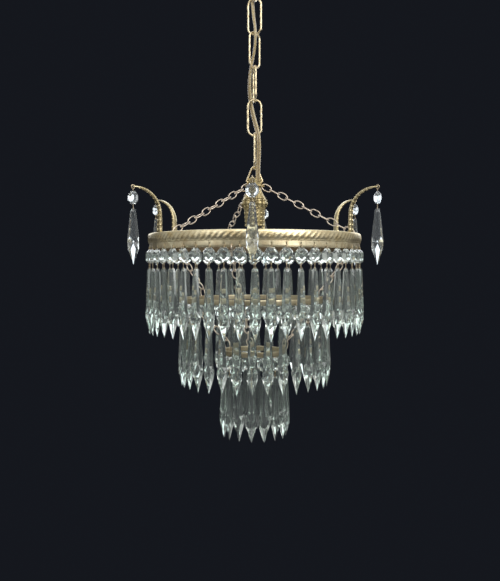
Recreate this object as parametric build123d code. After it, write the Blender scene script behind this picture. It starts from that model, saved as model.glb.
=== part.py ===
from build123d import *
from math import atan2, cos, pi, radians, sin, tan
import os

# A small three-tier waterfall pendant light. Millimetres, +Z up. The origin is where the
# vertical axis meets the ceiling, so everything hangs below z = 0. A bearing is the angle in
# degrees round the axis, counted from the front (-Y) towards the right (+X).

# ---- ceiling fitting -------------------------------------------------------------------------
plate_radius = 32.0
plate_thickness = 3.0
plate_sides = 40
plate_edge_chamfer = 1.2
screw_circle_radius = 25.0
screw_hole_radius = 2.1
screw_count = 3
eye_drop = 21.5  # ceiling to the middle of the eye
eye_radius = 8.0  # to the middle of the wire
eye_wire = 3.0
eye_shank_radius = 2.4
eye_bearing = -18.0
eye_steps = 14
grip_radius = 4.6  # bush that the flex leaves the plate through
grip_length = 7.0
grip_flange = 1.6

# ---- suspension chain ------------------------------------------------------------------------
link_wire = 2.2
link_width = 18.0
link_length = 44.3
bend_steps = 8
link_bearings = (72.0, -18.0, 42.0, 100.0, 0.0, 90.0)  # how far each link's plane is turned
running_gap = 0.3  # between pieces that move on each other
bail_wire = 2.2
bail_half_span = 9.9
bail_corner_rise = 24.9  # feet to where the two straight legs would meet
bail_top_bend = 4.0
bail_foot_bend = 1.6
bail_foot_inset = 3.4

# ---- crown -----------------------------------------------------------------------------------
cap_across = 14.6
cap_above_pivot = 5.0
cap_below_pivot = 3.6
cap_chamfer = 2.0
chain_plate_radius = 11.8
chain_plate_thickness = 1.2
chain_hole_radius = 1.5
chain_hole_inset = 2.4  # hole to the rim, on the crown's plate and on the lip of the band
shoulder_height = 15.2
shoulder_top_radius = 6.6
collar_height = 10.0
collar_radius = 15.4
sleeve_height = 22.0
sleeve_top_radius = 12.8
sleeve_bottom_radius = 11.0
sleeve_wall = 1.0
flutes = 12  # flat panels round the shoulder, collar and sleeve
holder_radius = 8.9
holder_reach = 1.6  # how far the lampholder shows below the sleeve
socket_radius = 7.1
socket_depth = 18.0

# ---- tiers -----------------------------------------------------------------------------------
tier_counts = (48, 32, 16)
tier_turns = (0.0, -2.0, -6.0)
ring_radii = (123.9, 86.0, 37.2)  # outer faces of the three punched strips
ring_heights = (13.0, 6.0, 6.0)
ring_wall = 1.1
ring_sides = (48, 32, 32)
tier_pitch = 62.0  # from the lower edge of one strip to the next
crown_to_band = 9.8  # bottom of the sleeve down to the top of the band
slit_width = 0.8
slit_height = 5.5
drop_offset = 0.4  # the drops hang this far outside the strips' outer faces
band_height = 11.4
band_overlap = 6.0  # how far the band comes down over the top strip
band_bulge = 2.3
band_lip = 6.8
band_wall = 1.2

# ---- glass -----------------------------------------------------------------------------------
bead_width = 14.2
bead_height = 15.6
bead_thickness = 7.0
pin_width = 0.9
pin_height = 6.0  # bead to icicle
icicle_length = 76.0
icicle_top_width = 6.8
icicle_width = 11.8
icicle_thickness_share = 0.76
icicle_point = 19.0  # widest section down to the tip
spear_length = 61.0
spear_top_width = 6.0
spear_width = 12.6
spear_point = 19.0
pendant_bead_height = 14.0
pendant_bead_width = 13.0
pendant_pin_height = 4.6
pendant_bead_turns = (0.0, 30.0, 0.0, 12.0, -8.0, 0.0)  # how each has come to rest on its pin
spear_turns = (0.0, -60.0, 24.0, -14.0, 18.0, 60.0)

# ---- arms ------------------------------------------------------------------------------------
arm_bearings = (-1.2, 60.5, 121.0, 174.7, 237.0, 300.3)
arm_inset = 2.05  # the band's inner face to the middle of the arm's upright part
arm_upright = 20.2
arm_bend = 28.0
arm_root_width = 8.2
arm_root_depth = 5.0
arm_tip_width = 4.0
arm_tip_depth = 1.5
arm_back_share = 0.5  # width of the flat outer side as a share of the whole width
arm_tip_run = 2.4
arm_steps = 7
hook_hole_radius = 0.95
hook_sides = 8
hook_radius = 2.0
hook_wire = 0.9
hook_stem = 2.6
hook_hole_inset = 1.7

# ---- small chains ----------------------------------------------------------------------------
oval_wire = 1.3
oval_width = 8.4
oval_end_width = 4.8
oval_gap = 0.3
oval_pitch = 10.6  # nominal, used where an end link hangs straight
upper_links = 11
strand_links = 5  # between the two end links of an inner strand
upper_bearings = (70.0, -47.0, -160.0)
middle_bearings = (-15.0, 105.0, -135.0)
lower_bearings = (-8.0, 105.0, -120.0)
strip_hole_inset = 2.6  # hole centre to the strip's edge
end_link_lean = 14.0  # degrees that an inner strand's end links lean along it

# ---- flex ------------------------------------------------------------------------------------
flex_radius = 2.2
flex_gap = 0.4
# Route from the grip to the cap, in and out of the links. Heights are below the ceiling.
flex_route = (
    (-10.0, 10.0, -9.0),
    (-9.0, 10.0, -22.0),
    (-5.8, 8.2, -42.0),
    (-2.5, 5.2, -68.0),
    (-0.9, 0.2, -89.0),
    (1.4, -5.8, -108.0),
    (0.0, -0.6, -128.0),
    (-4.8, 2.2, -147.0),
    (-6.4, 2.7, -168.0),
    (-4.8, 4.5, -187.5),
    (-0.6, 0.1, -208.0),
    (4.6, -4.4, -226.5),
    (5.0, -4.2, -246.0),
    (4.1, -3.9, -264.0),
    (3.8, -3.8, -274.0),
    (3.8, -3.8, -282.0),
)

OUT = "parts"
nodes = {}


# ---- helpers ---------------------------------------------------------------------------------
def at(radius, bearing, z):
    """A point at a radius and bearing round the axis."""
    turn = radians(bearing)
    return Vector(radius * sin(turn), -radius * cos(turn), z)


def outward(bearing):
    return at(1, bearing, 0)


def facing(radius, bearing, z):
    """A placement whose local -Y looks outwards along the bearing."""
    return Location(at(radius, bearing, z)) * Rotation(0, 0, bearing)


def faceted(rings, split=False):
    """A closed solid with flat faces through rings of points; a ring of one point is a tip.

    Side faces are split along a diagonal where the rings taper unevenly.
    """
    faces = []
    for upper, lower in zip(rings, rings[1:]):
        count = max(len(upper), len(lower))
        for k in range(count):
            n = (k + 1) % count
            if len(lower) == 1:
                corners = [upper[k], lower[0], upper[n]]
            elif len(upper) == 1:
                corners = [upper[0], lower[k], lower[n]]
            else:
                corners = [upper[k], lower[k], lower[n], upper[n]]
            if split:
                faces.append(Face(Wire.make_polygon(corners[:3])))
                corners = [corners[0], corners[2], corners[3]]
            faces.append(Face(Wire.make_polygon(corners)))
    faces += [Face(Wire.make_polygon(r)) for r in (rings[0], rings[-1]) if len(r) > 1]
    return Solid(Shell(faces))


def ring_of(sides, radius, z, stretch=1.0, start=0.5):
    """The corners of a level polygon, its second half-axis stretched."""
    angles = [2 * pi * (k + start) / sides for k in range(sides)]
    return [(radius * cos(a), radius * stretch * sin(a), z) for a in angles]


def panelled(sides, profile):
    """A solid of flat panels round the axis; profile is (radius to the flats, z) downwards."""
    return faceted([ring_of(sides, r / cos(pi / sides), z) for r, z in profile])


def panelled_ring(sides, profile):
    """A closed ring of flat panels; profile is a loop of (radius to the flats, z)."""
    loops = [
        [
            (r / cos(pi / sides) * sin(a), -r / cos(pi / sides) * cos(a), z)
            for a in (2 * pi * k / sides for k in range(sides))
        ]
        for r, z in profile
    ]
    faces = []
    for loop, after in zip(loops, loops[1:] + loops[:1]):
        for k in range(sides):
            n = (k + 1) % sides
            faces.append(Face(Wire.make_polygon([loop[k], loop[n], after[n], after[k]])))
    return Solid(Shell(faces))


def bent_wire(points, wire, flat, sides, closed=False):
    """Wire of polygonal section bent in one plane; flat is that plane's normal."""
    count = len(points)
    rings = []
    for k, point in enumerate(points):
        before = points[k - 1] if closed or k else None
        after = points[(k + 1) % count] if closed or k < count - 1 else None
        come = (point - before).normalized() if before else (after - point).normalized()
        go = (after - point).normalized() if after else come
        side = (come + go).normalized().cross(flat)
        mitre = 1 / cos(radians(come.get_angle(go)) / 2)
        angles = [2 * pi * (n + 0.5) / sides for n in range(sides)]
        reach = wire / 2
        ring = [point + side * (reach * mitre * cos(a)) + flat * (reach * sin(a)) for a in angles]
        rings.append(ring)
    if not closed:
        return faceted(rings)
    faces = []
    for ring, after in zip(rings, rings[1:] + rings[:1]):
        for n in range(sides):
            m = (n + 1) % sides
            faces.append(Face(Wire.make_polygon([ring[n], ring[m], after[m], after[n]])))
    return Solid(Shell(faces))


def arc_points(centre, radius, start, end, steps, lay):
    """Points on an arc in an upright plane; lay is its level direction, angles from it upwards."""
    angles = [radians(start + (end - start) * k / steps) for k in range(steps + 1)]
    return [centre + lay * (radius * cos(a)) + Vector(0, 0, radius * sin(a)) for a in angles]


def punch(radius, depth, sides=10):
    """A small drilled or punched hole, as a prism centred on the origin."""
    return extrude(RegularPolygon(radius, sides, major_radius=False), depth / 2, both=True)


def keep(name, shape):
    nodes[name] = shape


# ---- ceiling fitting -------------------------------------------------------------------------
eye_z = -eye_drop
grip_point = Vector(*flex_route[0])


def build_ceiling_plate():
    profile = [
        (plate_radius, 0),
        (plate_radius, plate_edge_chamfer - plate_thickness),
        (plate_radius - plate_edge_chamfer, -plate_thickness),
    ]
    plate = panelled(plate_sides, profile)
    for k in range(screw_count):
        place = at(screw_circle_radius, 60 + 360 * k / screw_count, -plate_thickness / 2)
        plate -= Location(place) * Cylinder(screw_hole_radius, 2 * plate_thickness)
    hole = punch(grip_radius - grip_flange, 2 * plate_thickness, 16)
    plate -= Location((grip_point.X, grip_point.Y, -plate_thickness / 2)) * hole
    keep("ceiling_plate", plate)


def build_ceiling_eye():
    """A welded eye on a shank that stands on the plate's underside."""
    lay = Vector(1, 0, 0).rotate(Axis.Z, eye_bearing)
    points = arc_points(Vector(0, 0, eye_z), eye_radius, 90, 450, eye_steps, lay)[:-1]
    ring = bent_wire(points, eye_wire, lay.cross(Vector(0, 0, 1)), 8, closed=True)
    shank_height = eye_drop - plate_thickness - eye_radius
    shank = punch(eye_shank_radius, shank_height)
    keep("ceiling_eye", ring + Pos(0, 0, eye_z + eye_radius + shank_height / 2) * shank)


def build_cord_grip():
    """The bush under the plate that the flex comes out of."""
    bore = flex_radius + flex_gap
    neck = grip_radius - grip_flange - running_gap / 3
    mouth = -plate_thickness - grip_length
    profile = [
        (neck, 0),
        (neck, -plate_thickness),
        (grip_radius, -plate_thickness),
        (grip_radius, mouth + grip_flange / 2),
        (grip_radius - grip_flange / 2, mouth),
        (bore, mouth),
        (bore, 0),
    ]
    keep("cord_grip", Location((grip_point.X, grip_point.Y, 0)) * panelled_ring(16, profile))


# ---- suspension chain ------------------------------------------------------------------------
link_reach = link_length - link_wire  # between the middles of the two end bends
link_pitch = link_reach - link_wire - running_gap
first_link_z = eye_z - eye_radius + (eye_wire + link_wire) / 2 + running_gap
link_tops = [first_link_z - link_pitch * k for k in range(len(link_bearings))]
bail_top_z = link_tops[-1] - link_reach + (link_wire + bail_wire) / 2 + running_gap
bail_lean = atan2(bail_half_span, bail_corner_rise)
pivot_z = bail_top_z - bail_corner_rise + bail_top_bend * (1 / sin(bail_lean) - 1)


def build_chain_links():
    """Long wire links: two half-round bends joined by straight legs."""
    bend = (link_width - link_wire) / 2
    for k, (top, bearing) in enumerate(zip(link_tops, link_bearings), 1):
        lay = Vector(1, 0, 0).rotate(Axis.Z, bearing)
        upper = Vector(0, 0, top - bend)
        lower = Vector(0, 0, top - link_reach + bend)
        points = arc_points(upper, bend, 0, 180, bend_steps, lay)
        points += arc_points(lower, bend, 180, 360, bend_steps, lay)
        keep(f"chain_link_{k}", bent_wire(points, link_wire, lay.cross(Vector(0, 0, 1)), 6, closed=True))


def build_bail():
    """A bent wire loop whose turned-in feet pivot in the cap."""
    foot = bail_half_span - bail_foot_inset
    corners = [
        (-foot, 0, pivot_z),
        (-bail_half_span, 0, pivot_z),
        (0, 0, pivot_z + bail_corner_rise),
        (bail_half_span, 0, pivot_z),
        (foot, 0, pivot_z),
    ]
    path = FilletPolyline(*corners, radius=[bail_foot_bend, bail_top_bend, bail_foot_bend])
    points = [path @ 0]
    for edge in path.edges():
        steps = 1 if edge.geom_type == GeomType.LINE else bend_steps // 2
        points += [edge @ (k / steps) for k in range(1, steps + 1)]
    keep("bail", bent_wire(points, bail_wire, Vector(0, 1, 0), 8))


# ---- crown -----------------------------------------------------------------------------------
cap_top = pivot_z + cap_above_pivot
cap_bottom = pivot_z - cap_below_pivot
chain_plate_z = cap_bottom - chain_plate_thickness / 2
shoulder_top = cap_bottom - chain_plate_thickness
shoulder_bottom = shoulder_top - shoulder_height
collar_bottom = shoulder_bottom - collar_height
sleeve_bottom = collar_bottom - sleeve_height
holder_bottom = sleeve_bottom - holder_reach


def build_crown_cap():
    half = cap_across / 2
    cap = panelled(
        8,
        [
            (half - cap_chamfer, cap_top),
            (half, cap_top - cap_chamfer),
            (half, cap_bottom + cap_chamfer / 2),
            (half - cap_chamfer / 2, cap_bottom),
        ],
    )
    pivot = punch(bail_wire / 2 + running_gap, 2 * cap_across, 12)
    cap -= Pos(0, 0, pivot_z) * Rotation(0, 90, 0) * pivot
    end = Vector(*flex_route[-1])
    depth = cap_top - end.Z + flex_gap
    gland = punch(flex_radius + flex_gap, 2 * depth, 12)
    keep("crown_cap", cap - Location((end.X, end.Y, cap_top)) * gland)


def build_chain_plate():
    top = cap_bottom
    bottom = cap_bottom - chain_plate_thickness
    plate = panelled(flutes, [(chain_plate_radius, top), (chain_plate_radius, bottom)])
    for bearing in upper_bearings:
        hole = punch(chain_hole_radius, 3 * chain_plate_thickness)
        plate -= Location(at(chain_plate_radius - chain_hole_inset, bearing, chain_plate_z)) * hole
    keep("chain_plate", plate)


def build_crown_shoulder():
    steps = ((1.0, 0.0), (1.12, 0.30), (1.45, 0.62), (2.05, 1.0))  # radius and depth shares
    profile = [(shoulder_top_radius * r, shoulder_top - shoulder_height * d) for r, d in steps]
    keep("crown_shoulder", panelled(flutes, profile))


def build_crown_collar():
    top, bottom = shoulder_bottom, collar_bottom
    neck = collar_radius - 1.8
    keep(
        "crown_collar",
        panelled(
            flutes,
            [
                (neck, top),
                (collar_radius, top - collar_height / 4),
                (collar_radius, bottom + collar_height / 4),
                (neck, bottom),
            ],
        ),
    )


def build_crown_sleeve():
    outer = [(sleeve_top_radius, collar_bottom), (sleeve_bottom_radius, sleeve_bottom)]
    inner = [(r - sleeve_wall, z) for r, z in outer]
    keep("crown_sleeve", panelled_ring(flutes, outer + inner[::-1]))


def build_lampholder():
    height = collar_bottom - holder_bottom
    body = panelled(16, [(holder_radius, holder_bottom + height), (holder_radius, holder_bottom)])
    bore = Pos(0, 0, holder_bottom + socket_depth / 2) * Cylinder(socket_radius, socket_depth)
    keep("lampholder", body - bore)


# ---- rings -----------------------------------------------------------------------------------
band_top = sleeve_bottom - crown_to_band
first_edge = band_top - band_height - ring_heights[0] + band_overlap
ring_edges = [first_edge - tier_pitch * k for k in range(3)]  # lower edges of the strips
ring_tops = [edge + height for edge, height in zip(ring_edges, ring_heights)]
end_link_reach = oval_pitch + oval_wire + oval_gap
band_inner = ring_radii[0] + 0.05
lip_edge = band_inner - band_lip


def nearest_gap(bearing, tier):
    """The bearing midway between two drops of a tier that is nearest to the one given."""
    step = 360 / tier_counts[tier]
    return (round((bearing - tier_turns[tier]) / step - 0.5) + 0.5) * step + tier_turns[tier]


middle_gaps = [nearest_gap(b, 0) for b in middle_bearings]
lower_gaps = [nearest_gap(b, 1) for b in lower_bearings]


def strip_hole(radius, bearing, z):
    return facing(radius, bearing, z) * Rotation(90, 0, 0) * punch(chain_hole_radius, 6 * ring_wall)


def build_rings():
    """Three punched strips: the top one slit at each drop, with holes where chains hook in."""
    names = ("top_strip", "middle_ring", "bottom_ring")
    upper_holes = ((), middle_gaps, lower_gaps)
    lower_holes = (middle_gaps, lower_gaps, ())
    for tier, name in enumerate(names):
        outer, inner = ring_radii[tier], ring_radii[tier] - ring_wall
        top, edge = ring_tops[tier], ring_edges[tier]
        strip = panelled_ring(
            ring_sides[tier], [(outer, top), (outer, edge), (inner, edge), (inner, top)]
        )
        middle = outer - ring_wall / 2
        cuts = [strip_hole(middle, b, edge + strip_hole_inset) for b in lower_holes[tier]]
        cuts += [strip_hole(middle, b, top - strip_hole_inset) for b in upper_holes[tier]]
        if tier == 0:
            slit = Box(slit_width, 6 * ring_wall, 2 * slit_height)
            step = 360 / tier_counts[tier]
            cuts += [facing(middle, step * k, edge) * slit for k in range(tier_counts[tier])]
        keep(name, strip - cuts)


def build_top_band():
    """The stamped band round the top strip: a bulged face and a lip turned inwards."""
    outer = band_inner + band_bulge
    bottom = band_top - band_height
    profile = [
        (lip_edge, band_top),
        (band_inner + band_bulge / 3, band_top),
        (outer, band_top - band_height / 4),
        (outer, bottom + band_height / 4),
        (band_inner, bottom),
        (band_inner, band_top - band_wall),
        (lip_edge, band_top - band_wall),
    ]
    band = panelled_ring(ring_sides[0], profile)
    for bearing in upper_bearings:
        hole = punch(chain_hole_radius, 3 * band_wall)
        band -= Location(at(lip_edge + chain_hole_inset, bearing, band_top - band_wall / 2)) * hole
    keep("top_band", band)


# ---- glass -----------------------------------------------------------------------------------
def octagon_bead(width, height, thickness):
    """An octagonal button cut to a point front and back, its top edge at the origin."""
    girdle = [(width / 2 * x, 0, height / 2 * (z - 1)) for x, z in octagon_corners()]
    front, back = (0, -thickness / 2, -height / 2), (0, thickness / 2, -height / 2)
    return faceted([[front], girdle, [back]])


def octagon_corners():
    turn = pi / 8
    return [(cos(turn + k * pi / 4) / cos(turn), sin(turn + k * pi / 4) / cos(turn)) for k in range(8)]


def icicle(length, top_width, width, point):
    """A six-sided prism that widens downwards and then comes to a point; its top is at 0."""
    stretch = icicle_thickness_share
    return faceted(
        [
            ring_of(6, top_width / 2, 0, stretch, 0),
            ring_of(6, width / 2, point - length, stretch, 0),
            [(0, 0, -length)],
        ]
    )


def pin(height):
    """A straight stand-in for a bead's wire pin, hanging down from the origin."""
    shank = height / 2 - running_gap
    return Pos(0, 0, -height / 2) * extrude(RegularPolygon(pin_width / 2, 3), shank, both=True)


def build_tiers():
    """Each tier's beads, pins and icicles, hanging just outside its strip's lower edge."""
    bead = octagon_bead(bead_width, bead_height, bead_thickness)
    drop = icicle(icicle_length, icicle_top_width, icicle_width, icicle_point)
    link = pin(pin_height)
    for tier, name in enumerate(("top", "middle", "bottom")):
        count, radius = tier_counts[tier], ring_radii[tier] + drop_offset
        bead_top = ring_edges[tier] - running_gap
        spots = [tier_turns[tier] + 360 * k / count for k in range(count)]
        pin_top = bead_top - bead_height
        keep(f"{name}_beads", Compound([facing(radius, b, bead_top) * bead for b in spots]))
        keep(f"{name}_pins", Compound([facing(radius, b, pin_top) * link for b in spots]))
        drop_top = pin_top - pin_height
        keep(f"{name}_icicles", Compound([facing(radius, b, drop_top) * drop for b in spots]))


# ---- arms and their pendants -----------------------------------------------------------------
arm_radius = band_inner - arm_inset
arm_tip_z = band_top + arm_upright + arm_bend
hook_hole_x = arm_radius + arm_bend + arm_tip_run - hook_hole_inset
hook_x = hook_hole_x + hook_radius


def arm_blank():
    """A bar that stands up, bends outwards and thins to a drilled tip, foot at 0.

    Its section is flat on the inner side and has its outer corners taken off.
    """
    centre = Vector(arm_bend, 0, arm_upright)
    line = [Vector(0, 0, 0)] + arc_points(centre, arm_bend, 180, 90, arm_steps, Vector(1, 0, 0))
    line.append(line[-1] + Vector(arm_tip_run, 0, 0))
    runs = [(after - point).length for point, after in zip(line, line[1:])]
    rings = []
    for k, point in enumerate(line):
        lean = radians(min(max(k - 1, 0), arm_steps) * 90 / arm_steps)
        share = sum(runs[:k]) / sum(runs)
        half = (arm_root_width + (arm_tip_width - arm_root_width) * share) / 2
        depth = arm_root_depth + (arm_tip_depth - arm_root_depth) * share
        out = Vector(-cos(lean), 0, sin(lean)) * (depth / 2)
        side, narrow = Vector(0, half, 0), Vector(0, half * arm_back_share, 0)
        rings.append(
            [
                point + out + narrow,
                point + side,
                point - out + side,
                point - out - side,
                point - side,
                point + out - narrow,
            ]
        )
    hole = punch(hook_hole_radius, 3 * arm_root_depth, 8)
    return faceted(rings, split=True) - Location(line[-1] - Vector(hook_hole_inset, 0, 0)) * hole


def build_arms():
    blank = arm_blank()
    for k, bearing in enumerate(arm_bearings, 1):
        place = facing(arm_radius, bearing, band_top) * Rotation(0, 0, -90)
        keep(f"arm_{k}", place * blank)


def build_pendants():
    """A hook ring through each arm's tip, a bead under it, and a spear on a pin."""
    plate = Plane.YZ.offset(-hook_wire / 2)
    outer = hook_radius + hook_wire / 2
    ring = extrude(
        plate * (RegularPolygon(outer, hook_sides) - RegularPolygon(outer - hook_wire, hook_sides)),
        hook_wire,
    )
    stem_top = -hook_radius
    bead_top = stem_top - hook_wire / 2 - hook_stem
    stem = Pos(0, 0, (stem_top + bead_top + running_gap) / 2) * Box(
        hook_wire, hook_wire, stem_top - bead_top - running_gap
    )
    bead = Pos(0, 0, bead_top) * octagon_bead(pendant_bead_width, pendant_bead_height, bead_thickness)
    pin_top = bead_top - pendant_bead_height
    lower_pin = Pos(0, 0, pin_top) * pin(pendant_pin_height)
    spear = Pos(0, 0, pin_top - pendant_pin_height) * icicle(
        spear_length, spear_top_width, spear_width, spear_point
    )
    turns = zip(arm_bearings, pendant_bead_turns, spear_turns)
    for k, (bearing, bead_turn, spear_turn) in enumerate(turns, 1):
        place = facing(hook_x, bearing, arm_tip_z)
        keep(f"pendant_hook_{k}", Compound([place * (ring + stem), place * lower_pin]))
        keep(f"pendant_bead_{k}", place * Rotation(0, 0, bead_turn) * bead)
        keep(f"pendant_spear_{k}", place * Rotation(0, 0, spear_turn) * spear)


# ---- small chains ----------------------------------------------------------------------------
def oval_link(start, end, flat):
    """A six-sided oval link of square wire; start and end are the middles of its end wires."""
    along = (end - start).normalized()
    half = (end - start).length / 2 + oval_wire / 2
    side, flat_end = oval_width / 2, oval_end_width / 2

    def outline(grow):
        a, b, c = half - grow, side - grow, flat_end - grow / 2
        return Polygon((-a, -c), (0, -b), (a, -c), (a, c), (0, b), (-a, c), align=None)

    plane = Plane(origin=(start + end) / 2, x_dir=along, z_dir=flat)
    return extrude(plane * (outline(0) - outline(oval_wire)), oval_wire / 2, both=True)


def run_of_links(start, end, count, bearing, first_radial):
    """Links between two end-wire middles, alternately standing in the radial plane and across it."""
    hook = oval_wire + oval_gap
    along = (end - start).normalized()
    pitch = ((end - start).length - hook) / count
    across = outward(bearing + 90)
    links = []
    for k in range(count):
        near = start + along * (pitch * k)
        far = near + along * (pitch + hook)
        radial = (k % 2 == 0) == first_radial
        flat = across if radial else along.cross(across)
        links.append(oval_link(near, far, flat))
    return links


def build_upper_chains():
    """Three chains from the crown's plate out and down to the lip of the band."""
    for k, bearing in enumerate(upper_bearings, 1):
        top = at(chain_plate_radius - chain_hole_inset, bearing, chain_plate_z)
        foot = at(lip_edge + chain_hole_inset, bearing, band_top - band_wall / 2)
        keep(f"upper_chain_{k}", Compound(run_of_links(top, foot, upper_links, bearing, True)))


def inner_strand(tier, bearing):
    """A chain from the lower edge of one strip in to the upper edge of the next."""
    middles = [ring_radii[tier + k] - ring_wall / 2 for k in range(2)]
    hook = oval_wire + oval_gap
    lean = radians(end_link_lean)
    drop = outward(bearing) * -sin(lean) - Vector(0, 0, cos(lean))
    top = at(middles[0], bearing, ring_edges[tier] + strip_hole_inset)
    top_end = top + drop * end_link_reach
    foot = at(middles[1], bearing, ring_tops[tier + 1] - strip_hole_inset)
    foot_end = foot - drop * end_link_reach
    along = (foot_end - top_end).normalized()
    across = outward(bearing + 90)
    links = [oval_link(top, top_end, across), oval_link(foot_end, foot, across)]
    return links + run_of_links(
        top_end - along * hook, foot_end + along * hook, strand_links, bearing, False
    )


def build_inner_chains():
    for name, tier, gaps in (("middle_chains", 0, middle_gaps), ("lower_chains", 1, lower_gaps)):
        links = [link for bearing in gaps for link in inner_strand(tier, bearing)]
        keep(name, Compound(links))


# ---- flex ------------------------------------------------------------------------------------
def build_flex():
    """The flex from the grip to the cap: straight runs joined by arcs as large as they allow."""
    points = [Vector(*p) for p in flex_route]
    radii = []
    for before, corner, after in zip(points, points[1:], points[2:]):
        shorter = min((corner - before).length, (after - corner).length)
        turn = radians((corner - before).get_angle(after - corner))
        radii.append(0.45 * shorter / tan(turn / 2))
    path = FilletPolyline(*points, radius=radii)
    print("flex length", round(path.length, 1), "radii", [round(r) for r in radii])
    section = RegularPolygon(flex_radius, 6, major_radius=False)
    tube = sweep(Plane(path @ 0, z_dir=path % 0) * section, path)
    keep("lamp_flex", tube)


build_ceiling_plate()
build_ceiling_eye()
build_cord_grip()
build_chain_links()
build_bail()
build_crown_cap()
build_chain_plate()
build_crown_shoulder()
build_crown_collar()
build_crown_sleeve()
build_lampholder()
build_rings()
build_top_band()
build_tiers()
build_arms()
build_pendants()
build_upper_chains()
build_inner_chains()
build_flex()

os.makedirs(OUT, exist_ok=True)
for name, shape in nodes.items():
    export_step(shape, f"{OUT}/{name}.step")
print(len(nodes), "nodes")
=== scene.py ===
"""Dresses the waterfall chandelier: gadrooned gilt ring, cut glass, hammered chain and flex."""
import math

import bpy
import numpy as np
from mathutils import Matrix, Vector


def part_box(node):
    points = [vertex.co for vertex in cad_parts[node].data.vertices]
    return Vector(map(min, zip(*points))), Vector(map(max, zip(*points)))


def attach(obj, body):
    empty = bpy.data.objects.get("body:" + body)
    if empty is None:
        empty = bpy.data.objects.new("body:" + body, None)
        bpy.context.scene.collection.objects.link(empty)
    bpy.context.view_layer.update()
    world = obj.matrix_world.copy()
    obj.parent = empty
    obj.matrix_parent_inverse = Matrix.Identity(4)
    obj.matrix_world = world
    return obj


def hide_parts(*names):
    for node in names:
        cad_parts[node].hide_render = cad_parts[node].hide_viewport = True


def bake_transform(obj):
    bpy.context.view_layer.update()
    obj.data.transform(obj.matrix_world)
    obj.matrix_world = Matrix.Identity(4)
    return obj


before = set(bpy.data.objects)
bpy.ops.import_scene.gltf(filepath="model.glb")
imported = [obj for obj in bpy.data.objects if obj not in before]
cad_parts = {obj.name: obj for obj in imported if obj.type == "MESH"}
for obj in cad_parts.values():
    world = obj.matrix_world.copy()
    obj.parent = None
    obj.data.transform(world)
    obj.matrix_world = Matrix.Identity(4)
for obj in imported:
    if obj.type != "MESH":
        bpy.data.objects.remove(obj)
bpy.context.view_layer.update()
MM = 0.001
TAU = 2 * math.pi
UP = np.array([0, 0, 1.0])

# ---- sizes repeated from the part's source, in millimetres and degrees ---------------------------
link_wire = 2.2
link_width = 18.0
link_reach = 42.1
link_bearings = (72.0, -18.0, 42.0, 100.0, 0.0, 90.0)
eye_z, eye_radius, eye_wire, eye_bearing = -21.5, 8.0, 3.0, -18.0
first_link_z, link_pitch = -26.6, 39.6
bail_half_span, bail_rise, bail_foot = 9.9, 24.9, 6.5
bail_top_bend, bail_foot_bend = 4.0, 1.6
tier_counts = (48, 32, 16)
tier_turns = (0.0, -2.0, -6.0)
ring_radii = (123.9, 86.0, 37.2)
ring_wall = 1.1
drop_offset = 0.4
ring_sides = (48, 32, 32)
band_inner = ring_radii[0] + 0.05
band_lip = 6.8
slit_width, slit_height = 0.8, 5.5
bead_size = (14.2, 15.6, 7.0)
icicle_size = (76.0, 6.8, 11.8, 19.0)
pin_height = 6.0
arm_bearings = (-1.2, 60.5, 121.0, 174.7, 237.0, 300.3)
arm_inset, arm_upright, arm_bend, arm_tip_run = 2.05, 20.2, 28.0, 2.4
arm_root_width, arm_root_depth, arm_tip_width, arm_tip_depth = 8.2, 5.0, 4.0, 1.5
hook_hole_inset, hook_radius = 1.7, 2.0
pendant_bead_size = (13.0, 14.0, 7.0)
spear_size = (61.0, 6.0, 12.6, 19.0)
upper_bearings = (70.0, -47.0, -160.0)
middle_bearings = (-15.0, 105.0, -135.0)
lower_bearings = (-8.0, 105.0, -120.0)
oval_wire, oval_gap, oval_pitch = 1.3, 0.3, 10.6
upper_links, strand_links = 11, 5
chain_plate_radius = 11.8
flutes = 12
strip_hole_inset, chain_hole_inset, end_link_lean = 2.6, 2.4, 14.0

flex_route = (
    (-10.0, 10.0, -9.0),
    (-9.0, 10.0, -22.0),
    (-5.8, 8.2, -42.0),
    (-2.5, 5.2, -68.0),
    (-0.9, 0.2, -89.0),
    (1.4, -5.8, -108.0),
    (0.0, -0.6, -128.0),
    (-4.8, 2.2, -147.0),
    (-6.4, 2.7, -168.0),
    (-4.8, 4.5, -187.5),
    (-0.6, 0.1, -208.0),
    (4.6, -4.4, -226.5),
    (5.0, -4.2, -246.0),
    (4.1, -3.9, -264.0),
    (3.8, -3.8, -274.0),
    (3.8, -3.8, -282.0),
)

# ---- sizes of the dressing alone, in millimetres and degrees -------------------------------------
gadroons = 120
arm_bead_step = 5.2
oval_half_width = 3.55
pendant_bead_turns = (0.0, 30.0, -31.0, 12.0, 33.0, 30.0)
spear_turns = (0.0, -60.0, -31.0, -14.0, 33.0, 60.0)


def span(node):
    """A CAD node's lowest and highest corners in millimetres."""
    low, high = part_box(node)
    return np.array(low) / MM, np.array(high) / MM


def heights(node):
    """The z of a CAD node's underside and of its top."""
    low, high = span(node)
    return low[2], high[2]


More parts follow.
